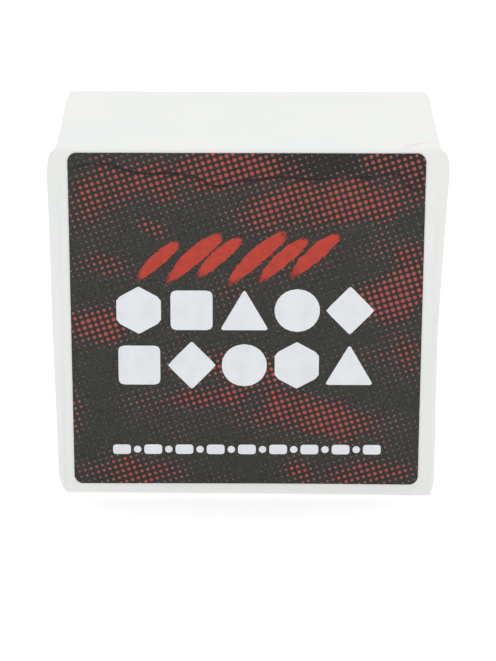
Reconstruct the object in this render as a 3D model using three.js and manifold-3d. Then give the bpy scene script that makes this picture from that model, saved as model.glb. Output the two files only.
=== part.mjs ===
// A pressed block of gymnastics chalk in a folded paper wrapper with a square printed label.
// Millimetres. +Z is up, the label faces -Y and the origin is the middle of the base.
import * as THREE from 'three'
import { mergeVertices } from 'three/addons/utils/BufferGeometryUtils.js'
import { ConvexGeometry } from 'three/addons/geometries/ConvexGeometry.js'
import Module from 'manifold-3d'

// The wrapped block, outside the paper
const HEIGHT = 53.25
const FRONT_DEPTH = 15.0 // from the origin to the front panel
const BACK_DEPTH = 15.0 // and to the back panel, beside the lap
const SLEEVE_LENGTH = 53.7 // the straight tube of paper, along X
const FRONT_SPREAD = 56.0 // the front panel is wider: its folds stand out over the layers at the ends
const BACK_SPREAD = 55.0
const EDGE_RADIUS = 1.2

// Paper, as thick as the crumpled sheet stands
const PAPER = 0.3
const FLAP_PAPER = 0.25
const LAYER_GAP = 0.15
const FIRST_GAP = 0.1 // sleeve end to the first folded layer

// The lengthwise seam on the back, where the sheet laps over itself
const SEAM_LOW = 20
const SEAM_HIGH = 30
const SEAM_GAP = 0.2
const SEAM_STEP = [0.6, 2.2] // the outer end of the sheet steps over the inner one's edge here

// The block inside
const BLOCK_CLEARANCE = 0.1
const BLOCK_END_CLEARANCE = 0.15
const BLOCK_RADIUS = 1.3

// The folded ends
const FLAP_LENGTH = 19 // how far the sheet runs past the block
const TUCK_LENGTH = 14
const FLAP_ROOT_GAP = 0.4
const SHOULDER = 2.3 // the flaps' corners start this far down from the top and bottom edges
const DIAGONAL = 0.95 // slope of a flap's slanted edges
const TUCK_TAPER = 0.85
const GLUE_RADIUS = 2.2
const GLUE_THICK = 0.09

// The label
const LABEL_WIDTH = 50.2
const LABEL_HEIGHT = 50.4
const LABEL_THICK = 0.2
const LABEL_CORNER = 1.8
const LABEL_LOW = 1.85
const LABEL_SHIFT = -0.22

const END = SLEEVE_LENGTH / 2
const FRONT = -FRONT_DEPTH
const BACK = BACK_DEPTH
const LAP = PAPER + SEAM_GAP

const wasm = await Module()
wasm.setup()

const LOOKS = {
  chalk: { color: 0xf3f4f1, roughness: 0.97 },
  paper: { color: 0xecefeb, roughness: 0.72 },
  print: { color: 0x3c3d39, roughness: 0.5 },
  glue: { color: 0xd9cfae, roughness: 0.35 },
}

function named(geometry, name, look) {
  const material = new THREE.MeshStandardMaterial({ ...LOOKS[look], metalness: 0 })
  const mesh = new THREE.Mesh(geometry, material)
  mesh.name = name
  return mesh
}

// A prism: an outline in the plane across the axis, from lo to hi along it.
// The outline is given as (y, z) along x, (x, z) along y or (x, y) along z.
function prism(outline, axis, lo, hi) {
  const shape = new THREE.Shape(outline.map(([a, b]) => new THREE.Vector2(a, b)))
  const solid = new THREE.ExtrudeGeometry(shape, { depth: hi - lo, bevelEnabled: false })
  const turn = new THREE.Matrix4()
  if (axis === 'x') turn.set(0, 0, 1, lo, 1, 0, 0, 0, 0, 1, 0, 0, 0, 0, 0, 1)
  if (axis === 'y') turn.set(1, 0, 0, 0, 0, 0, -1, hi, 0, 1, 0, 0, 0, 0, 0, 1)
  if (axis === 'z') turn.makeTranslation(0, 0, lo)
  return solid.applyMatrix4(turn)
}

function box(x, y, z) {
  const size = new THREE.BoxGeometry(x[1] - x[0], y[1] - y[0], z[1] - z[0])
  return size.translate((x[0] + x[1]) / 2, (y[0] + y[1]) / 2, (z[0] + z[1]) / 2)
}

function toManifold(geometry) {
  const bare = geometry.clone()
  bare.deleteAttribute('normal')
  bare.deleteAttribute('uv')
  const welded = mergeVertices(bare, 1e-4)
  return new wasm.Manifold(new wasm.Mesh({
    numProp: 3,
    vertProperties: Float32Array.from(welded.attributes.position.array),
    triVerts: Uint32Array.from(welded.index.array),
  }))
}

function fromManifold(solid) {
  const mesh = solid.getMesh()
  const geometry = new THREE.BufferGeometry()
  geometry.setAttribute('position', new THREE.BufferAttribute(Float32Array.from(mesh.vertProperties), 3))
  geometry.setIndex(new THREE.BufferAttribute(Uint32Array.from(mesh.triVerts), 1))
  return geometry
}

// Points along a path whose corners are rounded; each point is [a, b, radius].
function rounded(path, closed = false, steps = 6) {
  const out = []
  path.forEach(([a, b, r], i) => {
    const last = path.length - 1
    if (!r || (!closed && (i === 0 || i === last))) {
      out.push([a, b])
      return
    }
    const here = new THREE.Vector2(a, b)
    const before = new THREE.Vector2(...path[(i + last) % path.length].slice(0, 2))
    const after = new THREE.Vector2(...path[(i + 1) % path.length].slice(0, 2))
    const u = before.sub(here).normalize()
    const v = after.sub(here).normalize()
    const centre = here.clone().addScaledVector(u, r).addScaledVector(v, r)
    for (let k = 0; k <= steps; k += 1) {
      const t = (k / steps) * Math.PI / 2
      const arm = v.clone().multiplyScalar(-Math.cos(t)).addScaledVector(u, -Math.sin(t))
      out.push([centre.x + r * arm.x, centre.y + r * arm.y])
    }
  })
  return out
}

// One face of the sheet, from its inner end on the back round the block to its outer end on the back
function sheetFace(inset) {
  const r = EDGE_RADIUS - inset
  return rounded([
    [BACK - inset, SEAM_HIGH, 0],
    [BACK - inset, inset, r],
    [FRONT + inset, inset, r],
    [FRONT + inset, HEIGHT - inset, r],
    [BACK - inset, HEIGHT - inset, r],
    [BACK - inset, SEAM_HIGH + SEAM_STEP[1], 0],
    [BACK + LAP - inset, SEAM_HIGH + SEAM_STEP[0], 0],
    [BACK + LAP - inset, SEAM_LOW, 0],
  ])
}

function frontPanelOutline() {
  const w = FRONT_SPREAD / 2
  const right = [
    [END - 1, EDGE_RADIUS], [END + 0.25, EDGE_RADIUS + 0.1], [w - 0.35, EDGE_RADIUS + 0.6],
    [w - 0.08, EDGE_RADIUS + 1.3], [w, EDGE_RADIUS + 2.1], [w, HEIGHT - 4.1],
    [w - 0.1, HEIGHT - 3.1], [w - 0.45, HEIGHT - 2.1], [END + 0.3, HEIGHT - 1.4],
    [END - 1, HEIGHT - EDGE_RADIUS],
  ]
  const left = right.map(([x, z]) => [-x, z]).reverse()
  return [...right, ...left]
}

function sleeve() {
  const profile = [...sheetFace(0), ...sheetFace(PAPER).reverse()]
  const tube = toManifold(prism(profile, 'x', -END, END))
  const front = toManifold(prism(frontPanelOutline(), 'y', FRONT, FRONT + PAPER))
  const wide = toManifold(prism(profile, 'x', -BACK_SPREAD / 2, BACK_SPREAD / 2))
  const backOnly = toManifold(box(
    [-BACK_SPREAD, BACK_SPREAD],
    [BACK - PAPER, BACK + 1],
    [SHOULDER, HEIGHT - SHOULDER],
  ))
  return fromManifold(tube.add(front).add(wide.intersect(backOnly)))
}

function chalkBlock() {
  const x = END - BLOCK_END_CLEARANCE
  const y = [FRONT + PAPER + BLOCK_CLEARANCE, BACK - PAPER - BLOCK_CLEARANCE]
  const z = [PAPER + BLOCK_CLEARANCE, HEIGHT - PAPER - BLOCK_CLEARANCE]
  const r = BLOCK_RADIUS
  const points = []
  for (const [px, sx] of [[-x, 1], [x, -1]]) {
    for (const [py, sy] of [[y[0], 1], [y[1], -1]]) {
      for (const [pz, sz] of [[z[0], 1], [z[1], -1]]) {
        for (let i = 0; i <= 4; i += 1) {
          for (let j = 0; j <= 4; j += 1) {
            const a = (i / 4) * Math.PI / 2
            const b = (j / 4) * Math.PI / 2
            const away = [Math.cos(b) * Math.cos(a), Math.cos(b) * Math.sin(a), Math.sin(b)]
            points.push(new THREE.Vector3(
              px + sx * r * (1 - away[0]),
              py + sy * r * (1 - away[1]),
              pz + sz * r * (1 - away[2]),
            ))
          }
        }
      }
    }
  }
  return new ConvexGeometry(points)
}

function seamGlue() {
  const y = BACK + SEAM_GAP / 2
  return box([-24, 24], [y - 0.06, y + 0.06], [SEAM_LOW + 3, SEAM_LOW + 7])
}

function label() {
  const x = [-LABEL_WIDTH / 2 + LABEL_SHIFT, LABEL_WIDTH / 2 + LABEL_SHIFT]
  const z = [LABEL_LOW, LABEL_LOW + LABEL_HEIGHT]
  const r = LABEL_CORNER
  const outline = rounded([[x[0], z[0], r], [x[1], z[0], r], [x[1], z[1], r], [x[0], z[1], r]], true)
  return prism(outline, 'y', FRONT - 0.02 - LABEL_THICK, FRONT - 0.02)
}

// The layers at one end, counted outwards from the sleeve's end: how far out each one's faces are
function layer(n) {
  const low = FIRST_GAP + n * (FLAP_PAPER + LAYER_GAP)
  return [END + low, END + low + FLAP_PAPER]
}

// A flat piece of paper across the end of the block, on the +X or the -X side
function endPiece(outline, [low, high], side) {
  return side > 0 ? prism(outline, 'x', low, high) : prism(outline, 'x', -high, -low)
}

// A front or back flap: hinged on an upright edge, with slanted edges above and below.
// root is where it starts and way is +1 if it runs towards +Y.
function uprightFlap(root, way, outward, side) {
  const slope = (t) => Math.max(SHOULDER, 0.3 + DIAGONAL * t)
  const level = (SHOULDER - 0.3) / DIAGONAL
  const low = [
    [FLAP_ROOT_GAP, SHOULDER + 1], [FLAP_ROOT_GAP + 0.6, SHOULDER], [level, SHOULDER],
    [FLAP_LENGTH - 0.8, slope(FLAP_LENGTH - 0.8)], [FLAP_LENGTH, slope(FLAP_LENGTH) + 0.6],
  ]
  const outline = [...low, ...low.map(([t, z]) => [t, HEIGHT - z]).reverse()]
  return endPiece(outline.map(([t, z]) => [root + way * t, z]), outward, side)
}

// A top or bottom tuck: hinged on a level edge, tapering to a blunt tip under the flaps
function levelTuck(top, outward, side) {
  const half = BACK_DEPTH - 0.3
  const tip = half - TUCK_TAPER * TUCK_LENGTH
  const outline = [
    [-half + 0.2, 0.15], [half - 0.2, 0.15], [half - 0.7, 1],
    [tip, TUCK_LENGTH], [-tip, TUCK_LENGTH], [-half + 0.7, 1],
  ]
  return endPiece(outline.map(([y, d]) => [y, top ? HEIGHT - d : d]), outward, side)
}

function glueDot(side) {
  const [, under] = layer(1)
  const low = under + (LAYER_GAP - GLUE_THICK) / 2
  const ring = Array.from({ length: 24 }, (_, i) => {
    const t = (i / 24) * Math.PI * 2
    return [GLUE_RADIUS * Math.cos(t), HEIGHT / 2 + GLUE_RADIUS * 1.15 * Math.sin(t)]
  })
  return endPiece(ring, [low, low + GLUE_THICK], side)
}

function foldedEnd(word, side) {
  const backRoot = BACK - PAPER + 0.25
  return [
    named(levelTuck(true, layer(0), side), `${word}_top_tuck`, 'paper'),
    named(levelTuck(false, layer(0), side), `${word}_bottom_tuck`, 'paper'),
    named(uprightFlap(backRoot, -1, layer(1), side), `${word}_back_flap`, 'paper'),
    named(glueDot(side), `${word}_glue_dot`, 'glue'),
    named(uprightFlap(FRONT, 1, layer(2), side), `${word}_front_flap`, 'paper'),
  ]
}

const object = new THREE.Group()
object.name = 'wrapped_chalk_block'
object.add(named(chalkBlock(), 'chalk_block', 'chalk'))
object.add(named(sleeve(), 'wrapper_sleeve', 'paper'))
object.add(named(seamGlue(), 'seam_glue_line', 'glue'))
object.add(named(label(), 'front_label', 'print'))
for (const [word, side] of [['left', -1], ['right', 1]]) object.add(...foldedEnd(word, side))

export default object
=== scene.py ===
import math
from functools import cached_property

import bpy
import numpy as np
from mathutils import Matrix, Vector, noise


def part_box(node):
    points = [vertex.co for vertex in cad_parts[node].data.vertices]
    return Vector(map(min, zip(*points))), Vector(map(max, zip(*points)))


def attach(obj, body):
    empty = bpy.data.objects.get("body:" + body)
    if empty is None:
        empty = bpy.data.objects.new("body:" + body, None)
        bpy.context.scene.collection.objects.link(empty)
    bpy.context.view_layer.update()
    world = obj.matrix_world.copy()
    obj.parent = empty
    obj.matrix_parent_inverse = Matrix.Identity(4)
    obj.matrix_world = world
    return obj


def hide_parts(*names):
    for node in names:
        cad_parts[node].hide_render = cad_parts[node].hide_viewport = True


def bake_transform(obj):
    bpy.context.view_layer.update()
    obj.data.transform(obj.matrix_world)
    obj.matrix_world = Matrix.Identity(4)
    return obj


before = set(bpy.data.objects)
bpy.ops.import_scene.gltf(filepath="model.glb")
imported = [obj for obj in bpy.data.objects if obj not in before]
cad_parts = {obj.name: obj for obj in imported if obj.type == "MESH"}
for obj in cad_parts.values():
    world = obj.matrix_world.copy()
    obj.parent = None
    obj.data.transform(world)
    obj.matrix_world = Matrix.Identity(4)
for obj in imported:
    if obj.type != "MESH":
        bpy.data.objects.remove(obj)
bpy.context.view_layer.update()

MM = 0.001


def node_box(name):
    """A CAD node's lowest and highest corners, in mm."""
    return [np.array(corner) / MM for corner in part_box(name)]


# The camera

CAMERA_PLACE = (0.0, -0.3608, 0.15505)
CAMERA_TILT, CAMERA_ROLL = 69.5, 0.13
CAMERA_LENS = 140.35
camera = bpy.data.objects.new("camera", bpy.data.cameras.new("camera"))
camera.matrix_world = (
    Matrix.Translation(CAMERA_PLACE)
    @ Matrix.Rotation(math.radians(CAMERA_TILT), 4, "X")
    @ Matrix.Rotation(math.radians(CAMERA_ROLL), 4, "Z")
)
camera.data.lens = CAMERA_LENS
camera.data.clip_start = 0.01
bpy.context.scene.collection.objects.link(camera)
bpy.context.scene.camera = camera

# Places, in mm, from the CAD

sleeve_low, sleeve_high = node_box("wrapper_sleeve")
label_low, label_high = node_box("front_label")
chalk_low, chalk_high = node_box("chalk_block")
seam_low, seam_high = node_box("seam_glue_line")
LAP_STEP = 0.5  # how far the lap's outer layer stands out of the back panel in the CAD
SEAM_MARGIN = 3.0  # how far the lap goes on above and below its glue
FRONT = sleeve_low[1]
BACK = sleeve_high[1] - LAP_STEP
HEIGHT = sleeve_high[2]
SEAM_LOW, SEAM_HIGH = seam_low[2] - SEAM_MARGIN, seam_high[2] + SEAM_MARGIN
LABEL_LEFT, LABEL_TOP = float(label_low[0]), float(label_high[2])

# Sizes of the sheet, in mm

EDGE = 1.2  # the radius of its long edges
PAPER = 0.12  # its thickness
SPLIT = 26.0  # it turns from sleeve into flap here, in front of the fold
TUCK_ROOT = 27.0  # how far out it stands where a tuck starts
LOW_RADIUS = (1.7, 0.42)  # the radius of the front bottom edge, at the left and right end

# Half widths of the front panel by height, as (z, left, right). It is wider than the block, because the folds at
# its ends stand out
PANEL = np.array([
    (0.0, 26.85, 26.30), (0.6, 27.15, 26.62), (1.7, 27.58, 27.12), (3.0, 27.75, 27.36), (5.2, 27.73, 27.35),
    (10.2, 27.80, 27.30), (15.2, 27.90, 27.26), (20.2, 27.98, 27.23), (25.2, 28.08, 27.30),
    (30.2, 28.13, 27.43), (35.2, 28.16, 27.63), (40.2, 28.19, 27.85), (45.2, 28.29, 28.10),
    (49.0, 28.35, 28.28), (50.2, 28.24, 28.20), (51.3, 28.07, 28.05), (51.9, 27.80, 27.80),
    (52.5, 27.50, 27.43), (53.0, 27.05, 27.00),
])
PANEL_Z, PANEL_X = PANEL[:, 0], {-1: PANEL[:, 1], 1: PANEL[:, 2]}
# Half widths of the top panel by depth, of the back panel by height, and of the base
TOP_Y = [-14.0, -2.0, 4.0, 12.0, 14.2]
TOP_X = {-1: [26.9, 26.95, 27.05, 27.06, 26.9], 1: [26.9, 26.93, 26.94, 26.93, 26.8]}
BACK_Z = [0.0, 1.2, 2.2, 51.0, 52.0, 53.2]
BACK_X = [26.8, 27.25, 27.4, 27.4, 27.25, 26.8]
BASE_X = 26.8


def smooth(t):
    t = np.clip(t, 0, 1)
    return t * t * (3 - 2 * t)


def ripple(a, b, size, seed=0.0):
    """Soft noise between -1 and 1 over two coordinates in mm, with features about size across."""
    a, b = np.broadcast_arrays(a, b)
    flat = [noise.noise(Vector((p / size, q / size, seed))) for p, q in zip(a.ravel(), b.ravel())]
    return np.array(flat).reshape(a.shape)


def ridge(x, z, start, end, width):
    """1 on a line from start to end, falling away over width and towards its ends."""
    d = np.array(end) - np.array(start)
    t = ((x - start[0]) * d[0] + (z - start[1]) * d[1]) / (d @ d)
    off = np.hypot(x - start[0] - t * d[0], z - start[1] - t * d[1])
    return np.exp(-((off / width) ** 2)) * smooth(t / 0.25) * smooth((1 - t) / 0.25)


def front_swell(x, z):
    """How far the front panel stands out of its plane, in mm: a bulge low on the right, a crumple all over, a
    small ridge into each upper corner, and a slight dip beside the label."""
    swell = 0.27 * smooth((x - 2) / 24) * smooth((9 - z) / 8)
    swell = swell + 0.05 * ripple(x, z, 11, 1.0) + 0.02 * ripple(x, z, 4, 2.0)
    for side in (-1, 1):
        swell = swell + 0.07 * ridge(x, z, (side * 27.0, 52.6), (side * 24.6, 48.6), 0.28)
    return swell - 0.045 * smooth((np.abs(x) - 25.2) / 0.8) * smooth((z - 2) / 4)


def over_lap(z):
    """On the back: 1 where the sheet's outer end lies over its inner end, 0 above that."""
    return smooth((SEAM_HIGH + 1.9 - z) / 1.7)


# Meshes: outer surfaces given as points in mm and quads, closed with a thickness

collection = bpy.context.scene.collection


def quads_of(index):
    return np.stack([index[:-1, :-1], index[1:, :-1], index[1:, 1:], index[:-1, 1:]], -1).reshape(-1, 4)


def face_normals(points, quads):
    a, b, c, d = (points[quads[:, k]] for k in range(4))
    return np.cross(c - a, d - b)


def point_normals(points, quads):
    total = np.zeros_like(points)
    faces = face_normals(points, quads)
    for k in range(4):
        np.add.at(total, quads[:, k], faces)
    return total / np.maximum(np.linalg.norm(total, axis=1, keepdims=True), 1e-12)


def closed_piece(name, points, quads, normals, thickness, material):
    """A closed mesh: the quads, the same again one thickness in, and a rim round their edges."""
    used, quads = np.unique(quads, return_inverse=True)
    quads = quads.reshape(-1, 4)
    outer, normal = points[used], normals[used]
    n = len(used)
    corners = np.vstack([outer, outer - normal * thickness])
    edges = np.vstack([quads[:, [k, (k + 1) % 4]] for k in range(4)])
    known = set(map(tuple, edges))
    rim = np.array([(b, a, a + n, b + n) for a, b in edges if (b, a) not in known])
    faces = np.vstack([quads, quads[:, ::-1] + n, rim])
    across = face_normals(corners, rim)
    across /= np.maximum(np.linalg.norm(across, axis=1, keepdims=True), 1e-12)
    shading = np.vstack([
        normal[quads].reshape(-1, 3),
        -normal[quads[:, ::-1]].reshape(-1, 3),
        np.repeat(across, 4, axis=0),
    ])
    mesh = bpy.data.meshes.new(name)
    mesh.from_pydata((corners * MM).tolist(), [], faces.tolist())
    mesh.shade_smooth()
    mesh.normals_split_custom_set(shading.tolist())
    mesh.materials.append(material)
    piece = bpy.data.objects.new(name, mesh)
    collection.objects.link(piece)
    return piece


def piece_from_grids(name, grids, direction, thickness, material):
    """One closed piece from grids of points in mm, each with its outer side turned to direction."""
    count, all_points, all_quads, all_normals = 0, [], [], []
    for grid in grids:
        spots = grid.reshape(-1, 3)
        quads = quads_of(np.arange(len(spots)).reshape(grid.shape[:2]))
        facing = point_normals(spots, quads)
        if facing.mean(axis=0) @ direction < 0:
            quads, facing = quads[:, ::-1], -facing
        all_points.append(spots)
        all_quads.append(quads + count)
        all_normals.append(facing)
        count += len(spots)
    shape = np.vstack(all_points), np.vstack(all_quads), np.vstack(all_normals)
    return closed_piece(name, *shape, thickness, material)


# Node materials


class Surface:
    """A node material; its calls add nodes and return sockets. Lengths are in mm."""

    def __init__(self, name, **settings):
        self.material = bpy.data.materials.new(name)
        self.material.use_nodes = True
        self.tree = self.material.node_tree
        self.shader = self.tree.nodes["Principled BSDF"]
        for key, value in settings.items():
            self.shader.inputs[key.replace("_", " ")].default_value = value
        self.place = self.add("ShaderNodeTexCoord").outputs["Object"]

    @cached_property
    def split(self):
        return self.add("ShaderNodeSeparateXYZ", Vector=self.place).outputs

    @cached_property
    def x(self):
        return self.times(self.split[0], 1 / MM)

    @cached_property
    def y(self):
        return self.times(self.split[1], 1 / MM)

    @cached_property
    def z(self):
        return self.times(self.split[2], 1 / MM)

    def add(self, kind, props=None, **inputs):
        made = self.tree.nodes.new(kind)
        for key, value in (props or {}).items():
            setattr(made, key, value)
        for key, value in inputs.items():
            self.feed(made.inputs[key.replace("_", " ")], value)
        return made

    def feed(self, socket, value):
        if isinstance(value, bpy.types.NodeSocket):
            self.tree.links.new(value, socket)
        else:
            socket.default_value = value

    def math(self, operation, a, b=0.0, c=0.0, clamp=False):
        made = self.add("ShaderNodeMath", {"operation": operation, "use_clamp": clamp})
        for socket, value in zip(made.inputs, (a, b, c)):
            self.feed(socket, value)
        return made.outputs[0]

    def minus(self, a, b):
        return self.math("SUBTRACT", a, b)

    def times(self, a, b):
        return self.math("MULTIPLY", a, b)

    def weighted(self, a, by_a, b, by_b):
        """a times by_a, plus b times by_b."""
        return self.math("MULTIPLY_ADD", a, by_a, self.times(b, by_b))

    def length(self, a, b):
        return self.math("SQRT", self.weighted(a, a, b, b))

    def ramp(self, value, low, high, out_low=0.0, out_high=1.0):
        """value from low to high, turned smoothly into out_low to out_high."""
        made = self.add("ShaderNodeMapRange", {"interpolation_type": "SMOOTHSTEP"}, Value=value)
        for socket, v in zip(made.inputs[1:5], (low, high, out_low, out_high)):
            self.feed(socket, v)
        return made.outputs[0]

    def mapped(self, scale, rotation=(0.0, 0.0, 0.0)):
        return self.add("ShaderNodeMapping", Vector=self.place, Scale=scale, Rotation=rotation).outputs[0]

    def noise(self, size, detail=2.0, stretch=None, distortion=0.0):
        """Noise from 0 to 1 with features about size mm across."""
        vector = self.mapped(stretch) if stretch else self.place
        return self.add(
            "ShaderNodeTexNoise", Vector=vector, Scale=1 / (size * MM), Detail=detail, Distortion=distortion
        ).outputs[0]

    def flat_noise(self, vector, scale, detail):
        """Noise from 0 to 1 by two coordinates that are already in mm."""
        made = self.add(
            "ShaderNodeTexNoise", {"noise_dimensions": "2D"}, Vector=vector, Scale=scale, Detail=detail
        )
        return made.outputs[0]

    def cells(self, feature, size, vector, **settings):
        """Distances in cells about size mm across."""
        return self.add(
            "ShaderNodeTexVoronoi", {"feature": feature}, Vector=vector, Scale=1 / (size * MM), **settings
        ).outputs["Distance"]

    def mix(self, factor, a, b):
        made = self.add("ShaderNodeMix", {"data_type": "RGBA", "blend_type": "MIX"})
        for socket, value in zip([made.inputs[0], made.inputs[6], made.inputs[7]], (factor, a, b)):
            self.feed(socket, value)
        return made.outputs[2]

    def bump(self, height, distance, strength=1.0, after=None):
        made = self.add("ShaderNodeBump", Height=height, Distance=distance * MM, Strength=strength)
        if after:
            self.feed(made.inputs["Normal"], after)
        return made.outputs[0]

    def finish(self, color, roughness, normal):
        for key, value in (("Base Color", color), ("Roughness", roughness), ("Normal", normal)):
            self.feed(self.shader.inputs[key], value)
        return self.material


PAPER_WHITE = (0.766, 0.777, 0.750, 1.0)
PAPER_COOL = (0.747, 0.765, 0.750, 1.0)
FIBRE_TONE = (0.70, 0.70, 0.66, 1.0)
RUBBED_TONE = (0.70, 0.71, 0.69, 1.0)
# painted shade for the paper's wrinkle lines
WRINKLE_SHADE = (0.62, 0.63, 0.60, 1.0)
MARK_PINK = (0.78, 0.52, 0.72, 1.0)
MARK_START, MARK_END = (22.0, -14.4), (25.6, -12.9)  # a rubbed pink mark by the front top edge, as (x, y)


def rubbed_mark(s):
    """How strong the pink mark is, from 0 to 1."""
    slope = (MARK_END[1] - MARK_START[1]) / (MARK_END[0] - MARK_START[0])
    line = s.math("MULTIPLY_ADD", s.x, slope, MARK_START[1] - slope * MARK_START[0])
    wander = s.math("MULTIPLY_ADD", s.noise(1.2), 0.5, -0.25)
    off = s.math("ABSOLUTE", s.minus(s.minus(s.y, line), wander))
    mark = s.ramp(off, 0.1, 0.55, 1.0, 0.0)
    before_end = s.minus(MARK_END[0] + 0.5, s.x)
    for value, low, high in ((s.x, 20.8, 23.2), (before_end, 0.0, 1.0), (s.z, 50.5, 52.0)):
        mark = s.times(mark, s.ramp(value, low, high))
    return s.times(mark, s.ramp(s.noise(0.9, 3), 0.3, 0.6, 0.15, 0.55))


def paper_material():
    s = Surface("wrapper_paper", Specular_IOR_Level=0.35)
    fibre = s.noise(0.35, 4, stretch=(1.0, 1.0, 0.45))
    color = s.mix(s.ramp(s.noise(16, 3), 0.35, 0.65), PAPER_WHITE, PAPER_COOL)
    color = s.mix(s.ramp(fibre, 0.3, 0.75, 0.0, 0.12), color, FIBRE_TONE)
    color = s.mix(s.ramp(s.noise(7, 4, distortion=0.6), 0.62, 0.74, 0.0, 0.10), color, RUBBED_TONE)
    color = s.mix(rubbed_mark(s), color, MARK_PINK)
    # crumpled on the ends and the back, where nothing holds the sheet flat
    loose = s.math("MAXIMUM", s.ramp(s.math("ABSOLUTE", s.x), 26.2, 27.2), s.ramp(s.y, 12.5, 14.5))
    crumple = s.cells("SMOOTH_F1", 8.5, s.place, Smoothness=0.35)
    crumple = s.times(crumple, s.math("MULTIPLY_ADD", loose, 0.9, 0.1))
    edges = s.cells("DISTANCE_TO_EDGE", 11, s.mapped((0.30, 0.9, 0.75), (0.25, 0.2, 0.3)))
    here_and_there = s.times(loose, s.ramp(s.noise(7, 1), 0.50, 0.66))
    wrinkle = s.times(s.ramp(edges, 0.0, 0.05, 1.0, 0.0), here_and_there)
    # painted shade: the wrinkle lines are darkened in the colour as well as bumped, standing in for the shade in
    # their folds
    color = s.mix(s.times(wrinkle, 0.10), color, WRINKLE_SHADE)
    bump = s.bump(crumple, 0.6, 0.45)
    bump = s.bump(wrinkle, 0.08, 0.8, bump)
    bump = s.bump(s.noise(3.2, 2), 0.05, 0.35, bump)
    bump = s.bump(fibre, 0.02, 0.5, bump)
    return s.finish(color, s.ramp(s.noise(2.5, 3), 0.3, 0.7, 0.5, 0.68), bump)


# The label's tint: red dots on a slanted lattice, larger where the tint is stronger

PITCH = 0.875
LATTICE_TURN = math.radians(17.5)
DOT_SMALLEST, DOT_RADIUS = 0.10, 0.36
# Where the tint is strong: centre from the label's lower left corner, half sizes, turn in degrees, and strength
TINT = [
    ((37, 43.5), (15, 4.2), 8, 1.0), ((46, 48.5), (7, 3.0), 0, 0.85), ((22, 48.0), (10, 3.8), 5, 1.0),
    ((9, 45.0), (13, 6.0), 10, 0.66), ((11, 40), (3.4, 1.7), -30, 0.95), ((46.5, 29.8), (7.5, 4.6), 30, 0.9),
    ((46.0, 35.8), (6.5, 3.4), 0, 0.62), ((4, 33.5), (6, 2.0), 0, 0.5), ((4, 24.5), (6.5, 3.6), 5, 0.9),
    ((24, 18), (10, 3.0), 0, 0.85), ((20, 14), (11, 2.6), 4, 0.8), ((35.5, 10.5), (11, 3.8), -8, 1.0),
    ((8.5, 1.9), (9, 2.8), 0, 0.75), ((0.5, 10.5), (2.2, 4.5), 0, 0.7), ((40, 1.7), (11, 2.6), 0, 0.65),
    ((47.5, 19), (6, 5.0), 0, 0.45), ((30, 33), (13, 3.0), 20, 0.25),
]
INK_SMALL, INK_HOT = (0.225, 0.105, 0.105, 1.0), (0.66, 0.036, 0.02, 1.0)
INK_PINK, INK_ORANGE = (0.40, 0.042, 0.062, 1.0), (0.37, 0.070, 0.030, 1.0)  # the large dots are between these
DOT_RING, DOT_RIM = (0.31, 0.100, 0.080, 1.0), (0.075, 0.016, 0.014, 1.0)
BLACK_LOW, BLACK_HIGH = (0.0095, 0.0105, 0.0075, 1.0), (0.036, 0.038, 0.031, 1.0)
BLACK_ABOVE_CREASE = (0.004, 0.004, 0.003, 1.0)
BLACK_AMONG_DOTS = (0.006, 0.010, 0.006, 1.0)
# painted shade for the line along the label's crease
CREASE_SHADE = (0.004, 0.003, 0.003, 1.0)
LABEL_DUST = (0.35, 0.34, 0.33, 1.0)

# The crease across the label: mm from its left edge, and mm below its top
CREASE_U = [0, 4.4, 8.4, 10.8, 15.2, 18.5, 21, 23.5, 26.3, 30, 34.5, 38.4, 42, 46, 47.3, 49, 50.2]
CREASE_V = [3.0, 1.6, 2.6, 3.0, 3.0, 3.8, 4.9, 4.3, 3.9, 3.5, 3.8, 3.5, 3.5, 3.0, 4.5, 5.3, 5.4]
CREASE_SPAN, CREASE_DEPTH = CREASE_U[-1], 10.0  # what 1 stands for along and up in the crease's node curve


def crease_height(x):
    """The height of the crease, in mm."""
    return label_high[2] - np.interp(x - label_low[0], CREASE_U, CREASE_V)


def above_crease(s):
    """How far a point of the label is above the crease, in mm, as a socket."""
    share = s.math("DIVIDE", s.minus(s.x, LABEL_LEFT), CREASE_SPAN, clamp=True)
    crease = s.add("ShaderNodeFloatCurve", Value=share)
    spots = crease.mapping.curves[0].points
    for k, (u, v) in enumerate(zip(CREASE_U, CREASE_V)):
        if 0 < k < len(CREASE_U) - 1:
            spots.new(u / CREASE_SPAN, v / CREASE_DEPTH)
        else:
            spots[0 if k == 0 else -1].location = (u / CREASE_SPAN, v / CREASE_DEPTH)
    crease.mapping.update()
    return s.minus(s.times(crease.outputs[0], CREASE_DEPTH), s.minus(LABEL_TOP, s.z))


def dot_lattice(s):
    """The distance to the nearest dot's middle in mm, and that middle on the label as u and v in mm."""
    c, w = math.cos(LATTICE_TURN) / PITCH, math.sin(LATTICE_TURN) / PITCH
    place = (s.weighted(s.x, c, s.z, w), s.weighted(s.z, c, s.x, -w))
    cell = [s.math("ADD", s.math("FLOOR", v), 0.5) for v in place]
    away = s.times(s.length(*(s.minus(v, k) for v, k in zip(place, cell))), PITCH)
    c, w = math.cos(LATTICE_TURN) * PITCH, math.sin(LATTICE_TURN) * PITCH
    u = s.minus(s.weighted(cell[0], c, cell[1], -w), LABEL_LEFT)
    v = s.minus(s.weighted(cell[1], c, cell[0], w), float(label_low[2]))
    return away, u, v


def tint_strength(s, u, v):
    tint = None
    for (centre_u, centre_v), (half_u, half_v), turn, strength in TINT:
        c, w = math.cos(math.radians(turn)), math.sin(math.radians(turn))
        du, dv = s.minus(u, centre_u), s.minus(v, centre_v)
        out = s.length(s.weighted(du, c / half_u, dv, w / half_u), s.weighted(dv, c / half_v, du, -w / half_v))
        blob = s.ramp(out, 0.2, 1.5, strength, 0.0)
        tint = blob if tint is None else s.math("MAXIMUM", tint, blob)
    return tint


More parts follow.
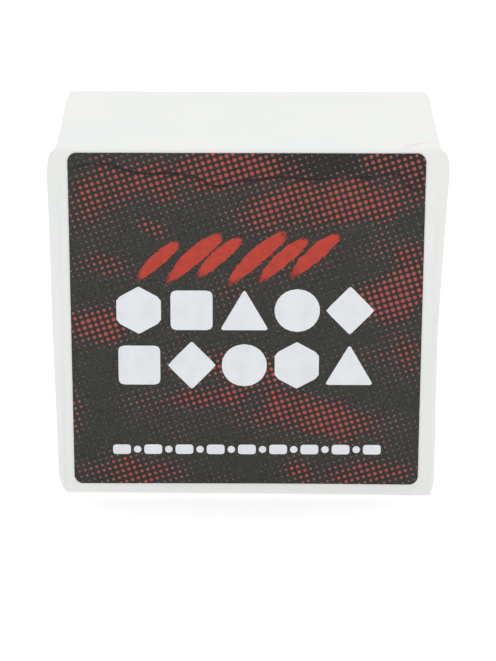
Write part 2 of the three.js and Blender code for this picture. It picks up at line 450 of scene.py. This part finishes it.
def label_material():
    s = Surface("label_print", Specular_IOR_Level=0.32)
    away, u, v = dot_lattice(s)
    centre = s.add("ShaderNodeCombineXYZ", X=u, Y=v).outputs[0]
    ragged = s.flat_noise(centre, 0.16, 3.0)
    tint = s.math("MULTIPLY_ADD", s.minus(ragged, 0.5), 1.3, tint_strength(s, u, v))
    chance = s.add("ShaderNodeTexWhiteNoise", {"noise_dimensions": "2D"}, Vector=centre).outputs[0]
    radius = s.times(s.ramp(tint, 0.0, 1.0, DOT_SMALLEST, DOT_RADIUS), s.math("MULTIPLY_ADD", chance, 0.14, 0.91))
    # where the tint is weakest, only some of the dots are left, as flecks
    fleck = s.times(s.ramp(chance, 0.25, 0.75), s.ramp(tint, -0.40, -0.05))
    radius = s.times(radius, s.math("MAXIMUM", fleck, s.ramp(tint, -0.08, 0.15)))
    dot = s.ramp(s.math("DIVIDE", s.minus(s.math("ADD", radius, 0.03), away), 0.07), -0.35, 0.9)
    size = s.ramp(radius, 0.15, 0.35)
    large = s.mix(s.math("FRACT", s.times(chance, 37.0)), INK_PINK, INK_ORANGE)
    hot = s.times(s.ramp(s.flat_noise(centre, 0.33, 1.0), 0.70, 0.74), size)
    ink = s.mix(hot, s.mix(size, INK_SMALL, large), INK_HOT)
    outwards = s.math("DIVIDE", away, s.math("MAXIMUM", radius, 0.05))
    ink = s.mix(s.times(s.ramp(outwards, 0.15, 0.55), s.times(size, 0.4)), ink, DOT_RING)
    ink = s.mix(s.ramp(outwards, 0.45, 1.0, 0.0, 0.95), ink, DOT_RIM)
    grain = s.noise(0.16, 2)
    ground = s.mix(s.ramp(grain, 0.3, 0.72), BLACK_LOW, BLACK_HIGH)
    # darker above the crease on the right, where the label turns from the light
    over = above_crease(s)
    shade = s.times(s.ramp(over, -0.1, 0.35), s.ramp(s.x, LABEL_LEFT + 18, LABEL_LEFT + 29, 0.1, 0.95))
    ground = s.mix(s.times(shade, 0.7), ground, BLACK_ABOVE_CREASE)
    ground = s.mix(s.times(size, 0.75), ground, BLACK_AMONG_DOTS)
    color = s.mix(dot, ground, ink)
    # painted shade: a dark, uneven line along the crease, where the label folds in
    line = s.ramp(s.math("ABSOLUTE", over), 0.10, 0.34, 1.0, 0.0)
    line = s.times(line, s.ramp(s.noise(2.4, 2), 0.35, 0.6, 0.45, 1.0))
    color = s.mix(s.times(line, 0.94), color, CREASE_SHADE)
    color = s.mix(s.ramp(s.noise(0.3, 2), 0.70, 0.80, 0.0, 0.30), color, LABEL_DUST)
    bump = s.bump(grain, 0.012, 0.5)
    bump = s.bump(dot, 0.012, 0.6, bump)
    return s.finish(color, s.ramp(s.noise(1.2, 3), 0.3, 0.7, 0.42, 0.58), bump)


def ink_material(name, light, dark, gap, size):
    s = Surface(name, Specular_IOR_Level=0.3)
    color = s.mix(s.ramp(s.noise(size, 4), 0.35, 0.7), light, dark)
    color = s.mix(s.ramp(s.noise(0.22, 3), 0.68, 0.8, 0.0, gap), color, (0.2, 0.17, 0.16, 1.0))
    return s.finish(color, s.ramp(s.noise(0.8, 2), 0.3, 0.7, 0.42, 0.6), s.bump(s.noise(0.2, 3), 0.01, 0.5))


def chalk_material():
    s = Surface("pressed_chalk", Specular_IOR_Level=0.15)
    grit = s.noise(0.5, 6)
    color = s.mix(s.ramp(s.noise(6, 4), 0.3, 0.7), (0.83, 0.84, 0.82, 1.0), (0.76, 0.77, 0.75, 1.0))
    color = s.mix(s.ramp(grit, 0.3, 0.5, 0.35, 0.0), color, (0.62, 0.63, 0.61, 1.0))
    bump = s.bump(s.noise(2.2, 5), 0.16, 0.7)
    return s.finish(color, s.ramp(grit, 0.3, 0.7, 0.86, 1.0), s.bump(grit, 0.06, 0.9, bump))


def glue_material():
    s = Surface("dried_glue", IOR=1.47)
    color = s.mix(s.ramp(s.noise(0.9, 3), 0.3, 0.7), (0.66, 0.60, 0.44, 1.0), (0.78, 0.74, 0.62, 1.0))
    bump = s.bump(s.noise(0.7, 3), 0.05, 0.6)
    return s.finish(color, s.ramp(s.noise(0.5, 2), 0.3, 0.7, 0.22, 0.42), bump)


paper = paper_material()
print_face = label_material()
white_ink = ink_material("white_ink", (0.725, 0.746, 0.775, 1.0), (0.683, 0.703, 0.73, 1.0), 0.10, 2.5)
red_ink = ink_material("red_ink", (0.475, 0.042, 0.022, 1.0), (0.39, 0.036, 0.019, 1.0), 0.35, 1.1)
chalk = chalk_material()
glue = glue_material()

# The sheet's section, from its inner end low on the back, under the block, up the front, over the top and down
# the back to its outer end. Rows are in named spans; each row has a point and the angle of its outward direction.

ROWS = {
    "back_low": 34, "corner_1": 6, "base": 30, "corner_2": 6, "front": 92,
    "corner_3": 6, "top": 30, "corner_4": 6, "back_high": 46,
}
SPANS, ROW_COUNT = {}, 0
for span_name, rows in ROWS.items():
    SPANS[span_name] = slice(ROW_COUNT, ROW_COUNT + rows)
    ROW_COUNT += rows
CORNERS = ["corner_1", "corner_2", "corner_3", "corner_4"]
LAP_RISE, LAP_WIDER = 0.33, 0.12  # how far the lap's outer layer stands out, behind and at the ends


def section(low_radius):
    """y, z and outward angle for every row; low_radius is the front bottom edge's radius, one for each column."""
    r = np.atleast_1d(np.asarray(low_radius, float))
    one = np.ones_like(r)
    y, z, angle = (np.zeros((ROW_COUNT, len(r))) for _ in range(3))

    def line(name, start, end, turn):
        span = SPANS[name]
        t = np.linspace(0, 1, span.stop - span.start)[:, None]
        y[span] = start[0] * (1 - t) + end[0] * t
        z[span] = start[1] * (1 - t) + end[1] * t
        angle[span] = turn

    def corner(name, centre, radius, turn):
        span = SPANS[name]
        t = np.linspace(0, 1, span.stop - span.start + 2)[1:-1, None]
        angle[span] = turn - t * math.pi / 2
        y[span] = centre[0] + radius * np.cos(angle[span])
        z[span] = centre[1] + radius * np.sin(angle[span])

    e = EDGE * one
    quarter = math.pi / 2
    line("back_low", (BACK * one, SEAM_HIGH * one), (BACK * one, e), 0.0)
    corner("corner_1", (BACK - e, e), e, 0.0)
    line("base", (BACK - e, 0 * one), (FRONT + r, 0 * one), -quarter)
    corner("corner_2", (FRONT + r, r), r, -quarter)
    line("front", (FRONT * one, r), (FRONT * one, HEIGHT - e), -2 * quarter)
    corner("corner_3", (FRONT + e, HEIGHT - e), e, -2 * quarter)
    line("top", (FRONT + e, HEIGHT * one), (BACK - e, HEIGHT * one), -3 * quarter)
    corner("corner_4", (BACK - e, HEIGHT - e), e, -3 * quarter)
    line("back_high", (BACK * one, HEIGHT - e), (BACK * one, SEAM_LOW * one), -4 * quarter)
    y[SPANS["back_high"]] += LAP_RISE * over_lap(z[SPANS["back_high"]])
    return y, z, angle


def evened(values, width):
    pad = np.pad(values, width, mode="edge")
    return np.convolve(pad, np.ones(2 * width + 1) / (2 * width + 1), mode="valid")


def row_settings(side):
    """For each row: half width of the sheet, the fold's size across and in, its lip's length, and how far the lip
    sinks to where the tucks lie."""
    y, z, _ = (a[:, 0] for a in section(EDGE))
    half = np.zeros(ROW_COUNT)
    across, inward, lip = np.full(ROW_COUNT, 0.5), np.full(ROW_COUNT, 0.5), np.full(ROW_COUNT, 0.35)
    for name, span in SPANS.items():
        if name in ("front", "corner_2", "corner_3"):
            half[span] = np.interp(z[span], PANEL_Z, PANEL_X[side])
        elif name == "top":
            half[span] = np.interp(y[span], TOP_Y, TOP_X[side])
        elif name == "base":
            front_end = PANEL_X[side][0]
            half[span] = front_end + (BASE_X - front_end) * smooth((y[span] - FRONT - EDGE) / 2.5)
        else:
            half[span] = np.interp(z[span], BACK_Z, BACK_X)
    half[SPANS["back_high"]] += LAP_WIDER * over_lap(z[SPANS["back_high"]])
    front = SPANS["front"]
    across[front] = np.clip(half[front] - 26.75, 0.75, 1.5)
    inward[front] = 0.8
    across, inward, lip = evened(across, 3), evened(inward, 2), evened(lip, 2)
    for name in CORNERS:
        span = SPANS[name]
        radius = LOW_RADIUS[0 if side < 0 else 1] if name == "corner_2" else EDGE
        inward[span] = np.minimum(inward[span], 0.45 * radius)
        lip[span] = 0.97 * radius - inward[span]
    sink = np.zeros(ROW_COUNT)
    for name in ("front", "back_low", "back_high"):
        span = SPANS[name]
        near = smooth(1 - np.minimum(z[span] - EDGE, HEIGHT - EDGE - z[span]) / 1.8)
        sink[span] = near * (half[span] - TUCK_ROOT)
    for name in CORNERS:
        sink[SPANS[name]] = half[SPANS[name]] - TUCK_ROOT
    return half, across, inward, lip, np.maximum(0, sink)


# The grid: columns over the panels, round the fold at each end, and on along its lip

FLAT_COLUMNS, FOLD_COLUMNS, LIP_COLUMNS = 111, 7, 3
settings = {side: row_settings(side) for side in (-1, 1)}
columns = {}
for side in (-1, 1):
    half, across, inward, lip, sink = (a[:, None] for a in settings[side])
    turn = np.linspace(0, math.pi / 2, FOLD_COLUMNS + 1)[1:]
    lips = np.linspace(0, 1, LIP_COLUMNS + 1)[1:]
    x = np.hstack([half - across + across * np.sin(turn), half - sink * smooth(lips)])
    depth = np.hstack([inward * (1 - np.cos(turn)), inward + lip * lips])
    columns[side] = (side * x, depth)
flat = np.linspace(-1, 1, FLAT_COLUMNS)
edge_x = {side: settings[side][0] - settings[side][1] for side in (-1, 1)}
flat_x = np.where(flat < 0, edge_x[-1][:, None] * flat, edge_x[1][:, None] * flat)
grid_x = np.hstack([columns[-1][0][:, ::-1], flat_x, columns[1][0]])
grid_in = np.hstack([columns[-1][1][:, ::-1], 0 * flat_x, columns[1][1]])
COLUMNS = grid_x.shape[1]

mean_x = grid_x[SPANS["front"]].mean(axis=0)
grid_y, grid_z, grid_angle = section(np.interp(mean_x, [-SPLIT, SPLIT], LOW_RADIUS))
facing_front = np.clip(-np.cos(grid_angle), 0, 1) ** 2
steps = [np.diff(a[:, :1], axis=0, prepend=a[:1, :1]) for a in (grid_y, grid_z)]
around = np.cumsum(np.hypot(*steps), axis=0)
crumple = 0.05 * ripple(grid_x, around, 12, 5.0) + 0.02 * ripple(grid_x, around, 4, 6.0) - 0.03
out = front_swell(grid_x, grid_z) * facing_front + crumple * (1 - facing_front)
out = out * smooth((EDGE - grid_in) / EDGE)
points = np.stack([
    grid_x,
    grid_y + (out - grid_in) * np.cos(grid_angle),
    grid_z + (out - grid_in) * np.sin(grid_angle),
], -1)

# Flaps run on from the sheet's lips. Each starts in a plane, along which it goes inwards; plane is that plane's
# place on its axis (1 is y, 2 is z), layer is how far out the flap lies, and it settles there over settles mm.

TUCK_LENGTH = 15.5
FLAPS = {
    "front_flap": {
        "spans": ["front"], "axis": 1, "plane": FRONT, "inwards": 1, "length": 19.0, "layer": 27.68, "settles": 5.0,
    },
    "back_flap": {
        "spans": ["back_low", "back_high"],
        "axis": 1, "plane": BACK, "inwards": -1, "length": 19.05, "layer": 27.40, "settles": 3.0,
    },
    "top_tuck": {
        "spans": ["top"],
        "axis": 2, "plane": HEIGHT, "inwards": -1, "length": TUCK_LENGTH, "layer": 27.10, "settles": 3.0,
    },
    "bottom_tuck": {
        "spans": ["base"],
        "axis": 2, "plane": 0.0, "inwards": 1, "length": TUCK_LENGTH, "layer": 27.10, "settles": 3.0,
    },
}
FLAP_COLUMNS = 40
NARROWING, NARROWS_FROM = 0.942, 1.2  # at each side, by mm of length, from this far in
TUCK_NARROWING, TUCK_NARROWS_FROM = 0.8, 2.4
TUCK_HALF = 13.7  # half a tuck's width where it starts
TUCK_WIDER = 0.5  # a tuck is this much wider than its root, to reach under both flaps' slanted edges
EDGE_LAYER = 27.24  # a flap's slanted edges lie down to here, or to 0.40 more over the back flap


def over_tuck(y, z):
    """1 where a tuck lies underneath, 0 elsewhere."""
    depth = np.minimum(z, HEIGHT - z)
    half = TUCK_HALF - TUCK_NARROWING * (depth - TUCK_NARROWS_FROM)
    return smooth((TUCK_LENGTH + 0.4 - depth) / 0.7) * smooth((half + 0.9 - np.abs(y + 0.1)) / 0.8)


def over_back_flap(y, z):
    """1 where the back flap lies underneath, 0 elsewhere."""
    length = BACK - y
    half = HEIGHT / 2 - EDGE - NARROWING * (length - NARROWS_FROM)
    return smooth((19.6 - length) / 0.9) * smooth((half + 0.6 - np.abs(z - HEIGHT / 2)) / 1.2)


def flap_points(kind, span_name, side):
    """A grid of points for one flap, from the lip's end to its tip."""
    flap, span = FLAPS[kind], SPANS[span_name]
    axis, plane, inwards = flap["axis"], flap["plane"], flap["inwards"]
    is_tuck = kind.endswith("tuck")
    column = -1 if side > 0 else 0
    root = points[span, column]
    start = grid_in[span, column][:, None]
    level = np.linspace(0, 1, FLAP_COLUMNS + 1)[1:] ** 1.12
    g = root[:, 3 - axis]
    low, high = (EDGE, HEIGHT - EDGE) if kind == "back_flap" else (g.min(), g.max())
    share = ((g - low) / (high - low))[:, None]
    tip_noise = 0.12 * ripple(share * 40, 0 * share, 6, side + 3.0)
    reach = flap["length"] - 0.7 * np.abs(2 * share - 1) ** 5 + tip_noise
    t = start + (reach - start) * level
    if is_tuck:
        narrow = TUCK_NARROWING * np.maximum(0, t - TUCK_NARROWS_FROM) - TUCK_WIDER * smooth((t - start) / 0.8)
    else:
        narrow = NARROWING * np.maximum(0, t - NARROWS_FROM)
    along = low + narrow + share * (high - low - 2 * narrow)
    deep = plane + inwards * t
    y, z = (deep, along) if axis == 1 else (along, deep)

    layer = flap["layer"]
    if kind == "front_flap":
        layer = layer + 0.17 * smooth((y + 5.0) / 1.2) + 0.05 * over_tuck(y, z)
    elif kind == "back_flap":
        layer = layer + 0.07 * over_tuck(y, z)
        if span_name == "back_high":
            layer = layer + 0.13 * over_lap(z)
    rise = smooth((t - start) / flap["settles"])
    x = np.abs(root[:, 0])[:, None] * (1 - rise) + layer * rise
    x = x + (0.03 * ripple(y + 30 * side, z, 5, 8.0) + 0.05 * ripple(y + 30 * side, z, 10, 9.0)) * rise
    fade = smooth((t - start) / 1.0)
    gap = np.minimum(share, 1 - share) * (high - low - 2 * narrow)
    if is_tuck:
        x = x - 0.05 * smooth(1 - gap / 0.5) * fade
    else:  # a flap's slanted edges are folds that lie down on what is under them
        under = EDGE_LAYER + 0.40 * over_back_flap(y, z) * (kind == "front_flap")
        x = x - np.maximum(0, x - under) * smooth(1 - gap / 1.7) * fade
    # the panel's own swell dies away along the flap
    deep = deep + (root[:, axis] - plane - inwards * start[:, 0])[:, None] * (1 - fade)
    y, z = (deep, along) if axis == 1 else (along, deep)
    return np.stack([side * x, y, z], -1)


all_points = [points.reshape(-1, 3)]
core = np.arange(ROW_COUNT * COLUMNS).reshape(ROW_COUNT, COLUMNS)
count = core.size
kept = np.ones((ROW_COUNT - 1, COLUMNS - 1), bool)
split = {side: int(np.argmin(np.abs(mean_x - side * SPLIT))) for side in (-1, 1)}
flap_quads = {}
for side in (-1, 1):
    for kind, flap in FLAPS.items():
        found = []
        for span_name in flap["spans"]:
            span = SPANS[span_name]
            made = flap_points(kind, span_name, side)
            index = count + np.arange(made.shape[0] * made.shape[1]).reshape(made.shape[:2])
            count += index.size
            all_points.append(made.reshape(-1, 3))
            if side > 0:
                index = np.hstack([core[span, split[1]:], index])
                kept[span.start:span.stop - 1, split[1]:] = False
            else:
                index = np.hstack([index[:, ::-1], core[span, :split[-1] + 1]])
                kept[span.start:span.stop - 1, :split[-1]] = False
            found.append(quads_of(index))
        flap_quads[side, kind] = np.vstack(found)
points = np.vstack(all_points)
core_quads = quads_of(core).reshape(ROW_COUNT - 1, COLUMNS - 1, 4)[kept]
normals = point_normals(points, np.vstack([core_quads, *flap_quads.values()]))
middle = core[SPANS["front"]][40, COLUMNS // 2]
if normals[middle][1] > 0:  # the outside is the outside
    core_quads = core_quads[:, ::-1]
    flap_quads = {key: q[:, ::-1] for key, q in flap_quads.items()}
    normals = -normals

BODY = "wrapped_block"
sleeve = closed_piece("paper_sleeve", points, core_quads, normals, PAPER, paper)
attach(sleeve, BODY)
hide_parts("wrapper_sleeve")

for (side, kind), quads in flap_quads.items():
    word = "left" if side < 0 else "right"
    piece = closed_piece(f"{word}_paper_{kind}", points, quads, normals, PAPER, paper)
    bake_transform(piece)
    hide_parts(f"{word}_{kind}")

# Thin patches: a closed outline filled with a grid, which is laid on a surface

ROW_START = 0.12  # rows are closer together near a patch's lowest and highest points; this is where they start


def patch(outline, surface, step):
    """A grid of points; outline is a closed loop of (a, b), with one left and one right edge at each b."""
    loop = np.array(outline, float)
    low, high = loop[:, 1].min(), loop[:, 1].max()
    rows = max(4, int((high - low) / step))
    turn = np.linspace(ROW_START, math.pi - ROW_START, rows)
    b = low + (high - low) * (0.5 - 0.5 * np.cos(turn) / math.cos(ROW_START) * 0.999)
    left, right = np.full(rows, 1e9), np.full(rows, -1e9)
    for (a0, b0), (a1, b1) in zip(loop, np.roll(loop, -1, axis=0)):
        if b0 == b1:
            continue
        t = (b - b0) / (b1 - b0)
        on = (t >= 0) & (t <= 1)
        a = a0 + t * (a1 - a0)
        left = np.where(on, np.minimum(left, a), left)
        right = np.where(on, np.maximum(right, a), right)
    share = np.linspace(0, 1, max(4, int((right - left).max() / step)))
    a = left[:, None] + (right - left)[:, None] * share
    return surface(a, b[:, None] + 0 * a)


def rounded_outline(corners, radius):
    """A closed polygon with its corners rounded."""
    spots = [np.array(p, float) for p in corners]
    made = []
    for k, here in enumerate(spots):
        before, after = spots[k - 1] - here, spots[(k + 1) % len(spots)] - here
        u, v = before / np.linalg.norm(before), after / np.linalg.norm(after)
        reach = radius / math.tan(math.acos(np.clip(u @ v, -1, 1)) / 2)
        p, q = here + u * reach, here + v * reach
        for t in np.linspace(0, 1, 8):
            made.append((1 - t) ** 2 * p + 2 * t * (1 - t) * here + t * t * q)
    return made


def circle(centre, radius, count=48):
    turns = np.linspace(0, 2 * math.pi, count, endpoint=False)
    return [(centre[0] + radius * math.cos(a), centre[1] + radius * math.sin(a)) for a in turns]


LABEL_THICK = 0.1
LABEL_CORNER = 1.35
TOWARDS = np.array([0.0, -1.0, 0.0])


def on_front(lift):
    """The front panel's surface and the label's crease, lifted by lift mm."""

    def place(x, z):
        over = np.maximum(0, z - (HEIGHT - EDGE))
        y = FRONT + EDGE - np.sqrt(EDGE**2 - np.minimum(over, EDGE) ** 2) - front_swell(x, z)
        gap = z - crease_height(x)
        groove = 0.09 * np.exp(-((gap / 0.2) ** 2)) - 0.035 * np.exp(-(((gap - 0.55) / 0.35) ** 2))
        return np.stack([x, y - lift + groove, z], -1)

    return place


def label_outline():
    (left, _, low), (right, _, high), r = label_low, label_high, LABEL_CORNER
    made = []
    for x, z, first in (
        (right - r, high - r, 0), (left + r, high - r, 90), (left + r, low + r, 180), (right - r, low + r, 270),
    ):
        for a in np.radians(np.linspace(first, first + 90, 14)):
            made.append((x + r * math.cos(a), z + r * math.sin(a)))
    return made


label_grid = patch(label_outline(), on_front(LABEL_THICK), 0.2)
sticker = piece_from_grids("label_sticker", [label_grid], TOWARDS, LABEL_THICK - 0.01, print_face)
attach(sticker, BODY)
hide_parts("front_label")

# The print on the label: plain shapes in two rows, a row of dashes, and slanted brush dashes

INK = 0.012
SHAPE_PITCH = 7.55


def label_spot(u, v):
    """A point u mm from the label's left edge and v mm below its top."""
    return label_low[0] + u, label_high[2] - v


def regular(u, v, radius, sides, turn=0.0, squeeze=1.0):
    x, z = label_spot(u, v)
    turns = [math.radians(turn) + 2 * math.pi * k / sides for k in range(sides)]
    return [(x + radius * squeeze * math.cos(a), z + radius * math.sin(a)) for a in turns]


def shape_outline(kind, u, v):
    if kind == "hexagon":
        return rounded_outline(regular(u, v, 3.6, 6, 30, 1.02), 0.25)
    if kind == "disc":
        return circle(label_spot(u, v), 3.25)
    if kind == "square":
        return rounded_outline(regular(u, v, 4.25, 4, 45), 0.9)
    if kind == "diamond":
        return rounded_outline(regular(u, v, 3.7, 4, 90, 0.95), 0.3)
    corners = (u + 3.5, v + 3.0), (u, v - 3.2), (u - 3.5, v + 3.0)
    return rounded_outline([label_spot(*corner) for corner in corners], 0.3)


def shape_row(u, v, kinds):
    return [shape_outline(kind, u + SHAPE_PITCH * k, v) for k, kind in enumerate(kinds)]


def dash_row(u, v, pitch, count):
    """Dashes in a row, with a dot between each two."""
    made = []
    for k in range(count):
        middle = u + pitch * k
        corners = (-1.3, 0.75), (1.3, 0.75), (1.3, -0.75), (-1.3, -0.75)
        made.append(rounded_outline([label_spot(middle + a, v + b) for a, b in corners], 0.5))
        if k < count - 1:
            made.append(circle(label_spot(middle + pitch / 2, v), 0.55, 24))
    return made


def ink_piece(name, outlines, step=0.45):
    grids = [patch(outline, on_front(LABEL_THICK + INK), step) for outline in outlines]
    piece = piece_from_grids(name, grids, TOWARDS, 2 * INK, white_ink)
    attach(piece, BODY)


ink_piece("printed_shapes_upper", shape_row(9.7, 23.4, ["hexagon", "square", "triangle", "disc", "diamond"]))
ink_piece("printed_shapes_lower", shape_row(9.7, 31.8, ["square", "diamond", "disc", "hexagon", "triangle"]))
ink_piece("printed_dashes", dash_row(7.0, 44.95, 4.55, 9), 0.1)

STRANDS, STRAND_STEPS = 11, 60


def brush_dash(start, bend, end, width, seed, lift):
    """A dry brush dash: bristle strands side by side along one curve, with uneven ends, as one grid each."""
    p0, p1, p2 = (np.array(label_spot(*p)) for p in (start, bend, end))
    grids = []
    for k in range(STRANDS):
        outer = abs(2 * ((k + 0.5) / STRANDS - 0.5))
        begin = 0.02 + 0.10 * abs(noise.noise(Vector((k * 0.9, seed, 0.3)))) + 0.05 * outer
        stop = 0.98 - 0.22 * abs(noise.noise(Vector((k * 1.3, seed, 4.1)))) - 0.10 * outer
        t = np.linspace(begin, stop, STRAND_STEPS)[:, None]
        path = (1 - t) ** 2 * p0 + 2 * t * (1 - t) * p1 + t * t * p2
        way = 2 * (1 - t) * (p1 - p0) + 2 * t * (p2 - p1)
        way /= np.linalg.norm(way, axis=1, keepdims=True)
        across = np.stack([-way[:, 1], way[:, 0]], -1)
        swell = width * (0.60 + 0.40 * smooth(t / 0.35)) * (0.30 + 0.70 * smooth((1 - t) / 0.5))
        taper = 0.04 + 0.96 * smooth((t - begin) / 0.05) * smooth((stop - t) / 0.12)
        near, far = (
            (e / STRANDS - 0.5) * swell
            + 0.11 * ripple(t * 26, 0 * t + e, 1.0, seed + 7.0) + 0.10 * ripple(t * 9, 0 * t + e, 1.0, seed)
            for e in (k, k + 1)
        )
        middle = (near + far) / 2
        strip = np.stack([path + across * (middle + (edge - middle) * taper) for edge in (near, far)], 1)
        grids.append(on_front(LABEL_THICK + lift)(strip[..., 0], strip[..., 1]))
    return grids


strokes = []
for k, (u, top, foot, width) in enumerate([  # u is the foot's place; each dash leans to the right and bows a little
    (8.9, 12.9, 19.7, 1.9), (12.9, 11.5, 20.4, 2.3), (17.4, 12.2, 19.4, 2.0), (21.6, 11.3, 20.6, 2.3),
    (26.2, 12.3, 20.0, 2.1), (30.7, 11.6, 19.3, 2.2),
]):
    lean = 1.05 * (foot - top)
    bend = (u + 0.40 * lean, (top + foot) / 2 - 0.4)
    strokes += brush_dash((u + lean, top), bend, (u, foot), width, 3.7 * k, INK + 0.003 * k)
brushed = piece_from_grids("printed_brush_strokes", strokes, TOWARDS, 2 * INK, red_ink)
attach(brushed, BODY)

# Glue: a bead along the back seam and a dot under each front flap

GLUE_SKIN = 0.02


def glue_bead():
    x = np.linspace(seam_low[0], seam_high[0], 120)
    spread = 2 * np.linspace(0, 1, 9)[:, None] - 1
    middle = (seam_low[2] + seam_high[2]) / 2 + 0.4 * ripple(x, 0 * x, 9, 11.0)
    z = middle + (1.6 + 0.35 * ripple(x, 0 * x, 3, 12.0)) * spread
    swell = 0.1 * np.sqrt(np.maximum(0, 1 - spread**2)) * smooth((24 - np.abs(x)) / 0.8)
    y = seam_low[1] + GLUE_SKIN + swell
    return np.stack([x + 0 * z, y + 0 * z, z], -1)


bead = piece_from_grids("seam_glue_bead", [glue_bead()], np.array([0.0, 1.0, 0.0]), GLUE_SKIN, glue)
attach(bead, BODY)
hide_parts("seam_glue_line")


def glue_dome(side, centre, base):
    """A low dome of glue on the back flap of one end."""

    def place(y, z):
        r = np.hypot((y - centre[1]) / 2.2, (z - centre[2]) / 2.5)
        height = 0.13 * np.sqrt(np.maximum(0, 1 - r**2)) + 0.01 * ripple(y, z, 1.2, 9.0 + side)
        return np.stack([side * (base + height), y, z], -1)

    return place


for side, word in ((-1, "left"), (1, "right")):
    dot_low, dot_high = node_box(f"{word}_glue_dot")
    centre, size = (dot_low + dot_high) / 2, (dot_high - dot_low) / 2
    base = min(abs(dot_low[0]), abs(dot_high[0])) - 0.06
    wavy = []
    for a in np.linspace(0, 2 * math.pi, 60, endpoint=False):
        reach = 0.96 + 0.04 * noise.noise(Vector((2 * math.cos(a), 2 * math.sin(a), side)))
        wavy.append((centre[1] + size[1] * reach * math.cos(a), centre[2] + size[2] * reach * math.sin(a)))
    dot_grid = patch(wavy, glue_dome(side, centre, base), 0.12)
    dot = piece_from_grids(f"{word}_glue_spot", [dot_grid], np.array([float(side), 0.0, 0.0]), GLUE_SKIN, glue)
    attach(dot, f"{word}_back_flap")
    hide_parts(f"{word}_glue_dot")

# The pressed block: rounded, with crumbled edges and small pits

CHALK_RADIUS = 1.3
CHALK_CELLS = (64, 36, 62)


def chalk_mesh():
    half, centre = (chalk_high - chalk_low) / 2, (chalk_high + chalk_low) / 2
    made, index, faces = [], {}, []

    def corner(key):
        if key not in index:
            index[key] = len(made)
            made.append(np.array([(2 * key[k] / CHALK_CELLS[k] - 1) * half[k] for k in range(3)]))
        return index[key]

    for axis in range(3):
        u, v = (axis + 1) % 3, (axis + 2) % 3
        for end in (0, CHALK_CELLS[axis]):
            for i in range(CHALK_CELLS[u]):
                for j in range(CHALK_CELLS[v]):
                    ring = []
                    for di, dj in ((0, 0), (1, 0), (1, 1), (0, 1)):
                        key = [0, 0, 0]
                        key[axis], key[u], key[v] = end, i + di, j + dj
                        ring.append(corner(tuple(key)))
                    faces.append(ring if end else ring[::-1])
    p = np.array(made)
    inner = np.clip(p, -(half - CHALK_RADIUS), half - CHALK_RADIUS)
    direction = (p - inner) / np.linalg.norm(p - inner, axis=1, keepdims=True)
    edge = np.sort(np.abs(direction), axis=1)[:, 1]
    chips, pits, broad = (np.array([noise.noise(Vector(q / size)) for q in p]) for size in (2.4, 1.1, 14))
    crumbled = 0.9 * smooth(edge / 0.5) * np.maximum(0, chips - 0.12)
    inset = 0.05 + 0.04 * broad + 0.05 * np.maximum(0, pits) + crumbled
    placed = centre + inner + direction * (CHALK_RADIUS - inset[:, None])
    mesh = bpy.data.meshes.new("chalk_brick")
    mesh.from_pydata((placed * MM).tolist(), [], faces)
    mesh.shade_smooth()
    mesh.materials.append(chalk)
    piece = bpy.data.objects.new("chalk_brick", mesh)
    collection.objects.link(piece)
    return piece


brick = chalk_mesh()
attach(brick, BODY)
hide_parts("chalk_block")

# Floor, light and sky: all white, with a soft light from above

WHITE = (1.0, 1.0, 1.0, 1.0)
FLOOR_REACH, FLOOR_Z = 3.0, -0.00002
FLOOR_GLOW = 0.36
SKY, HORIZON = 0.85, 1.0  # overhead, and low down, where it has to match the floor
SKY_FROM, SKY_TO = 0.15, 0.32  # the sky goes from one to the other between these rises
KEY_PLACE, KEY_AIM = Vector((0.03, -0.02, 0.6)), Vector((0, 0, 0.02))
KEY_ENERGY = 1.07


def floor_material():
    s = Surface("studio_floor", Specular_IOR_Level=0.1)
    s.shader.inputs["Emission Color"].default_value = WHITE
    s.shader.inputs["Emission Strength"].default_value = FLOOR_GLOW
    tone = s.mix(s.ramp(s.noise(60, 2), 0.3, 0.7), (0.80, 0.80, 0.80, 1.0), (0.79, 0.79, 0.79, 1.0))
    return s.finish(tone, s.ramp(s.noise(5, 2), 0.3, 0.7, 0.8, 0.9), s.bump(s.noise(1.0, 2), 0.01, 0.2))


floor_mesh = bpy.data.meshes.new("studio_floor")
floor_corners = [(a * FLOOR_REACH, b * FLOOR_REACH, FLOOR_Z) for a, b in ((-1, -1), (1, -1), (1, 1), (-1, 1))]
floor_mesh.from_pydata(floor_corners, [], [(0, 1, 2, 3)])
floor_mesh.materials.append(floor_material())
floor = bpy.data.objects.new("studio_floor", floor_mesh)
collection.objects.link(floor)

scene = bpy.context.scene
world = scene.world or bpy.data.worlds.new("studio")
scene.world = world
world.use_nodes = True
nodes, links = world.node_tree.nodes, world.node_tree.links
background = nodes["Background"]
background.inputs["Color"].default_value = WHITE
split_direction = nodes.new("ShaderNodeSeparateXYZ")
links.new(nodes.new("ShaderNodeTexCoord").outputs["Generated"], split_direction.inputs[0])
fall = nodes.new("ShaderNodeMapRange")
fall.interpolation_type = "SMOOTHSTEP"
links.new(split_direction.outputs[2], fall.inputs[0])
for socket, value in zip(fall.inputs[1:5], (SKY_FROM, SKY_TO, HORIZON, SKY)):
    socket.default_value = value
links.new(fall.outputs[0], background.inputs["Strength"])

key = bpy.data.objects.new("key_light", bpy.data.lights.new("key_light", "AREA"))
key.data.shape = "RECTANGLE"
key.data.size, key.data.size_y = 0.5, 0.35
key.data.energy = KEY_ENERGY
key.location = KEY_PLACE
key.rotation_euler = (KEY_AIM - KEY_PLACE).to_track_quat("-Z", "Y").to_euler()
collection.objects.link(key)

scene.view_settings.view_transform = "Standard"
scene.view_settings.look = "None"
scene.view_settings.exposure = 0.0
scene.view_settings.gamma = 1.0

bpy.context.view_layer.update()
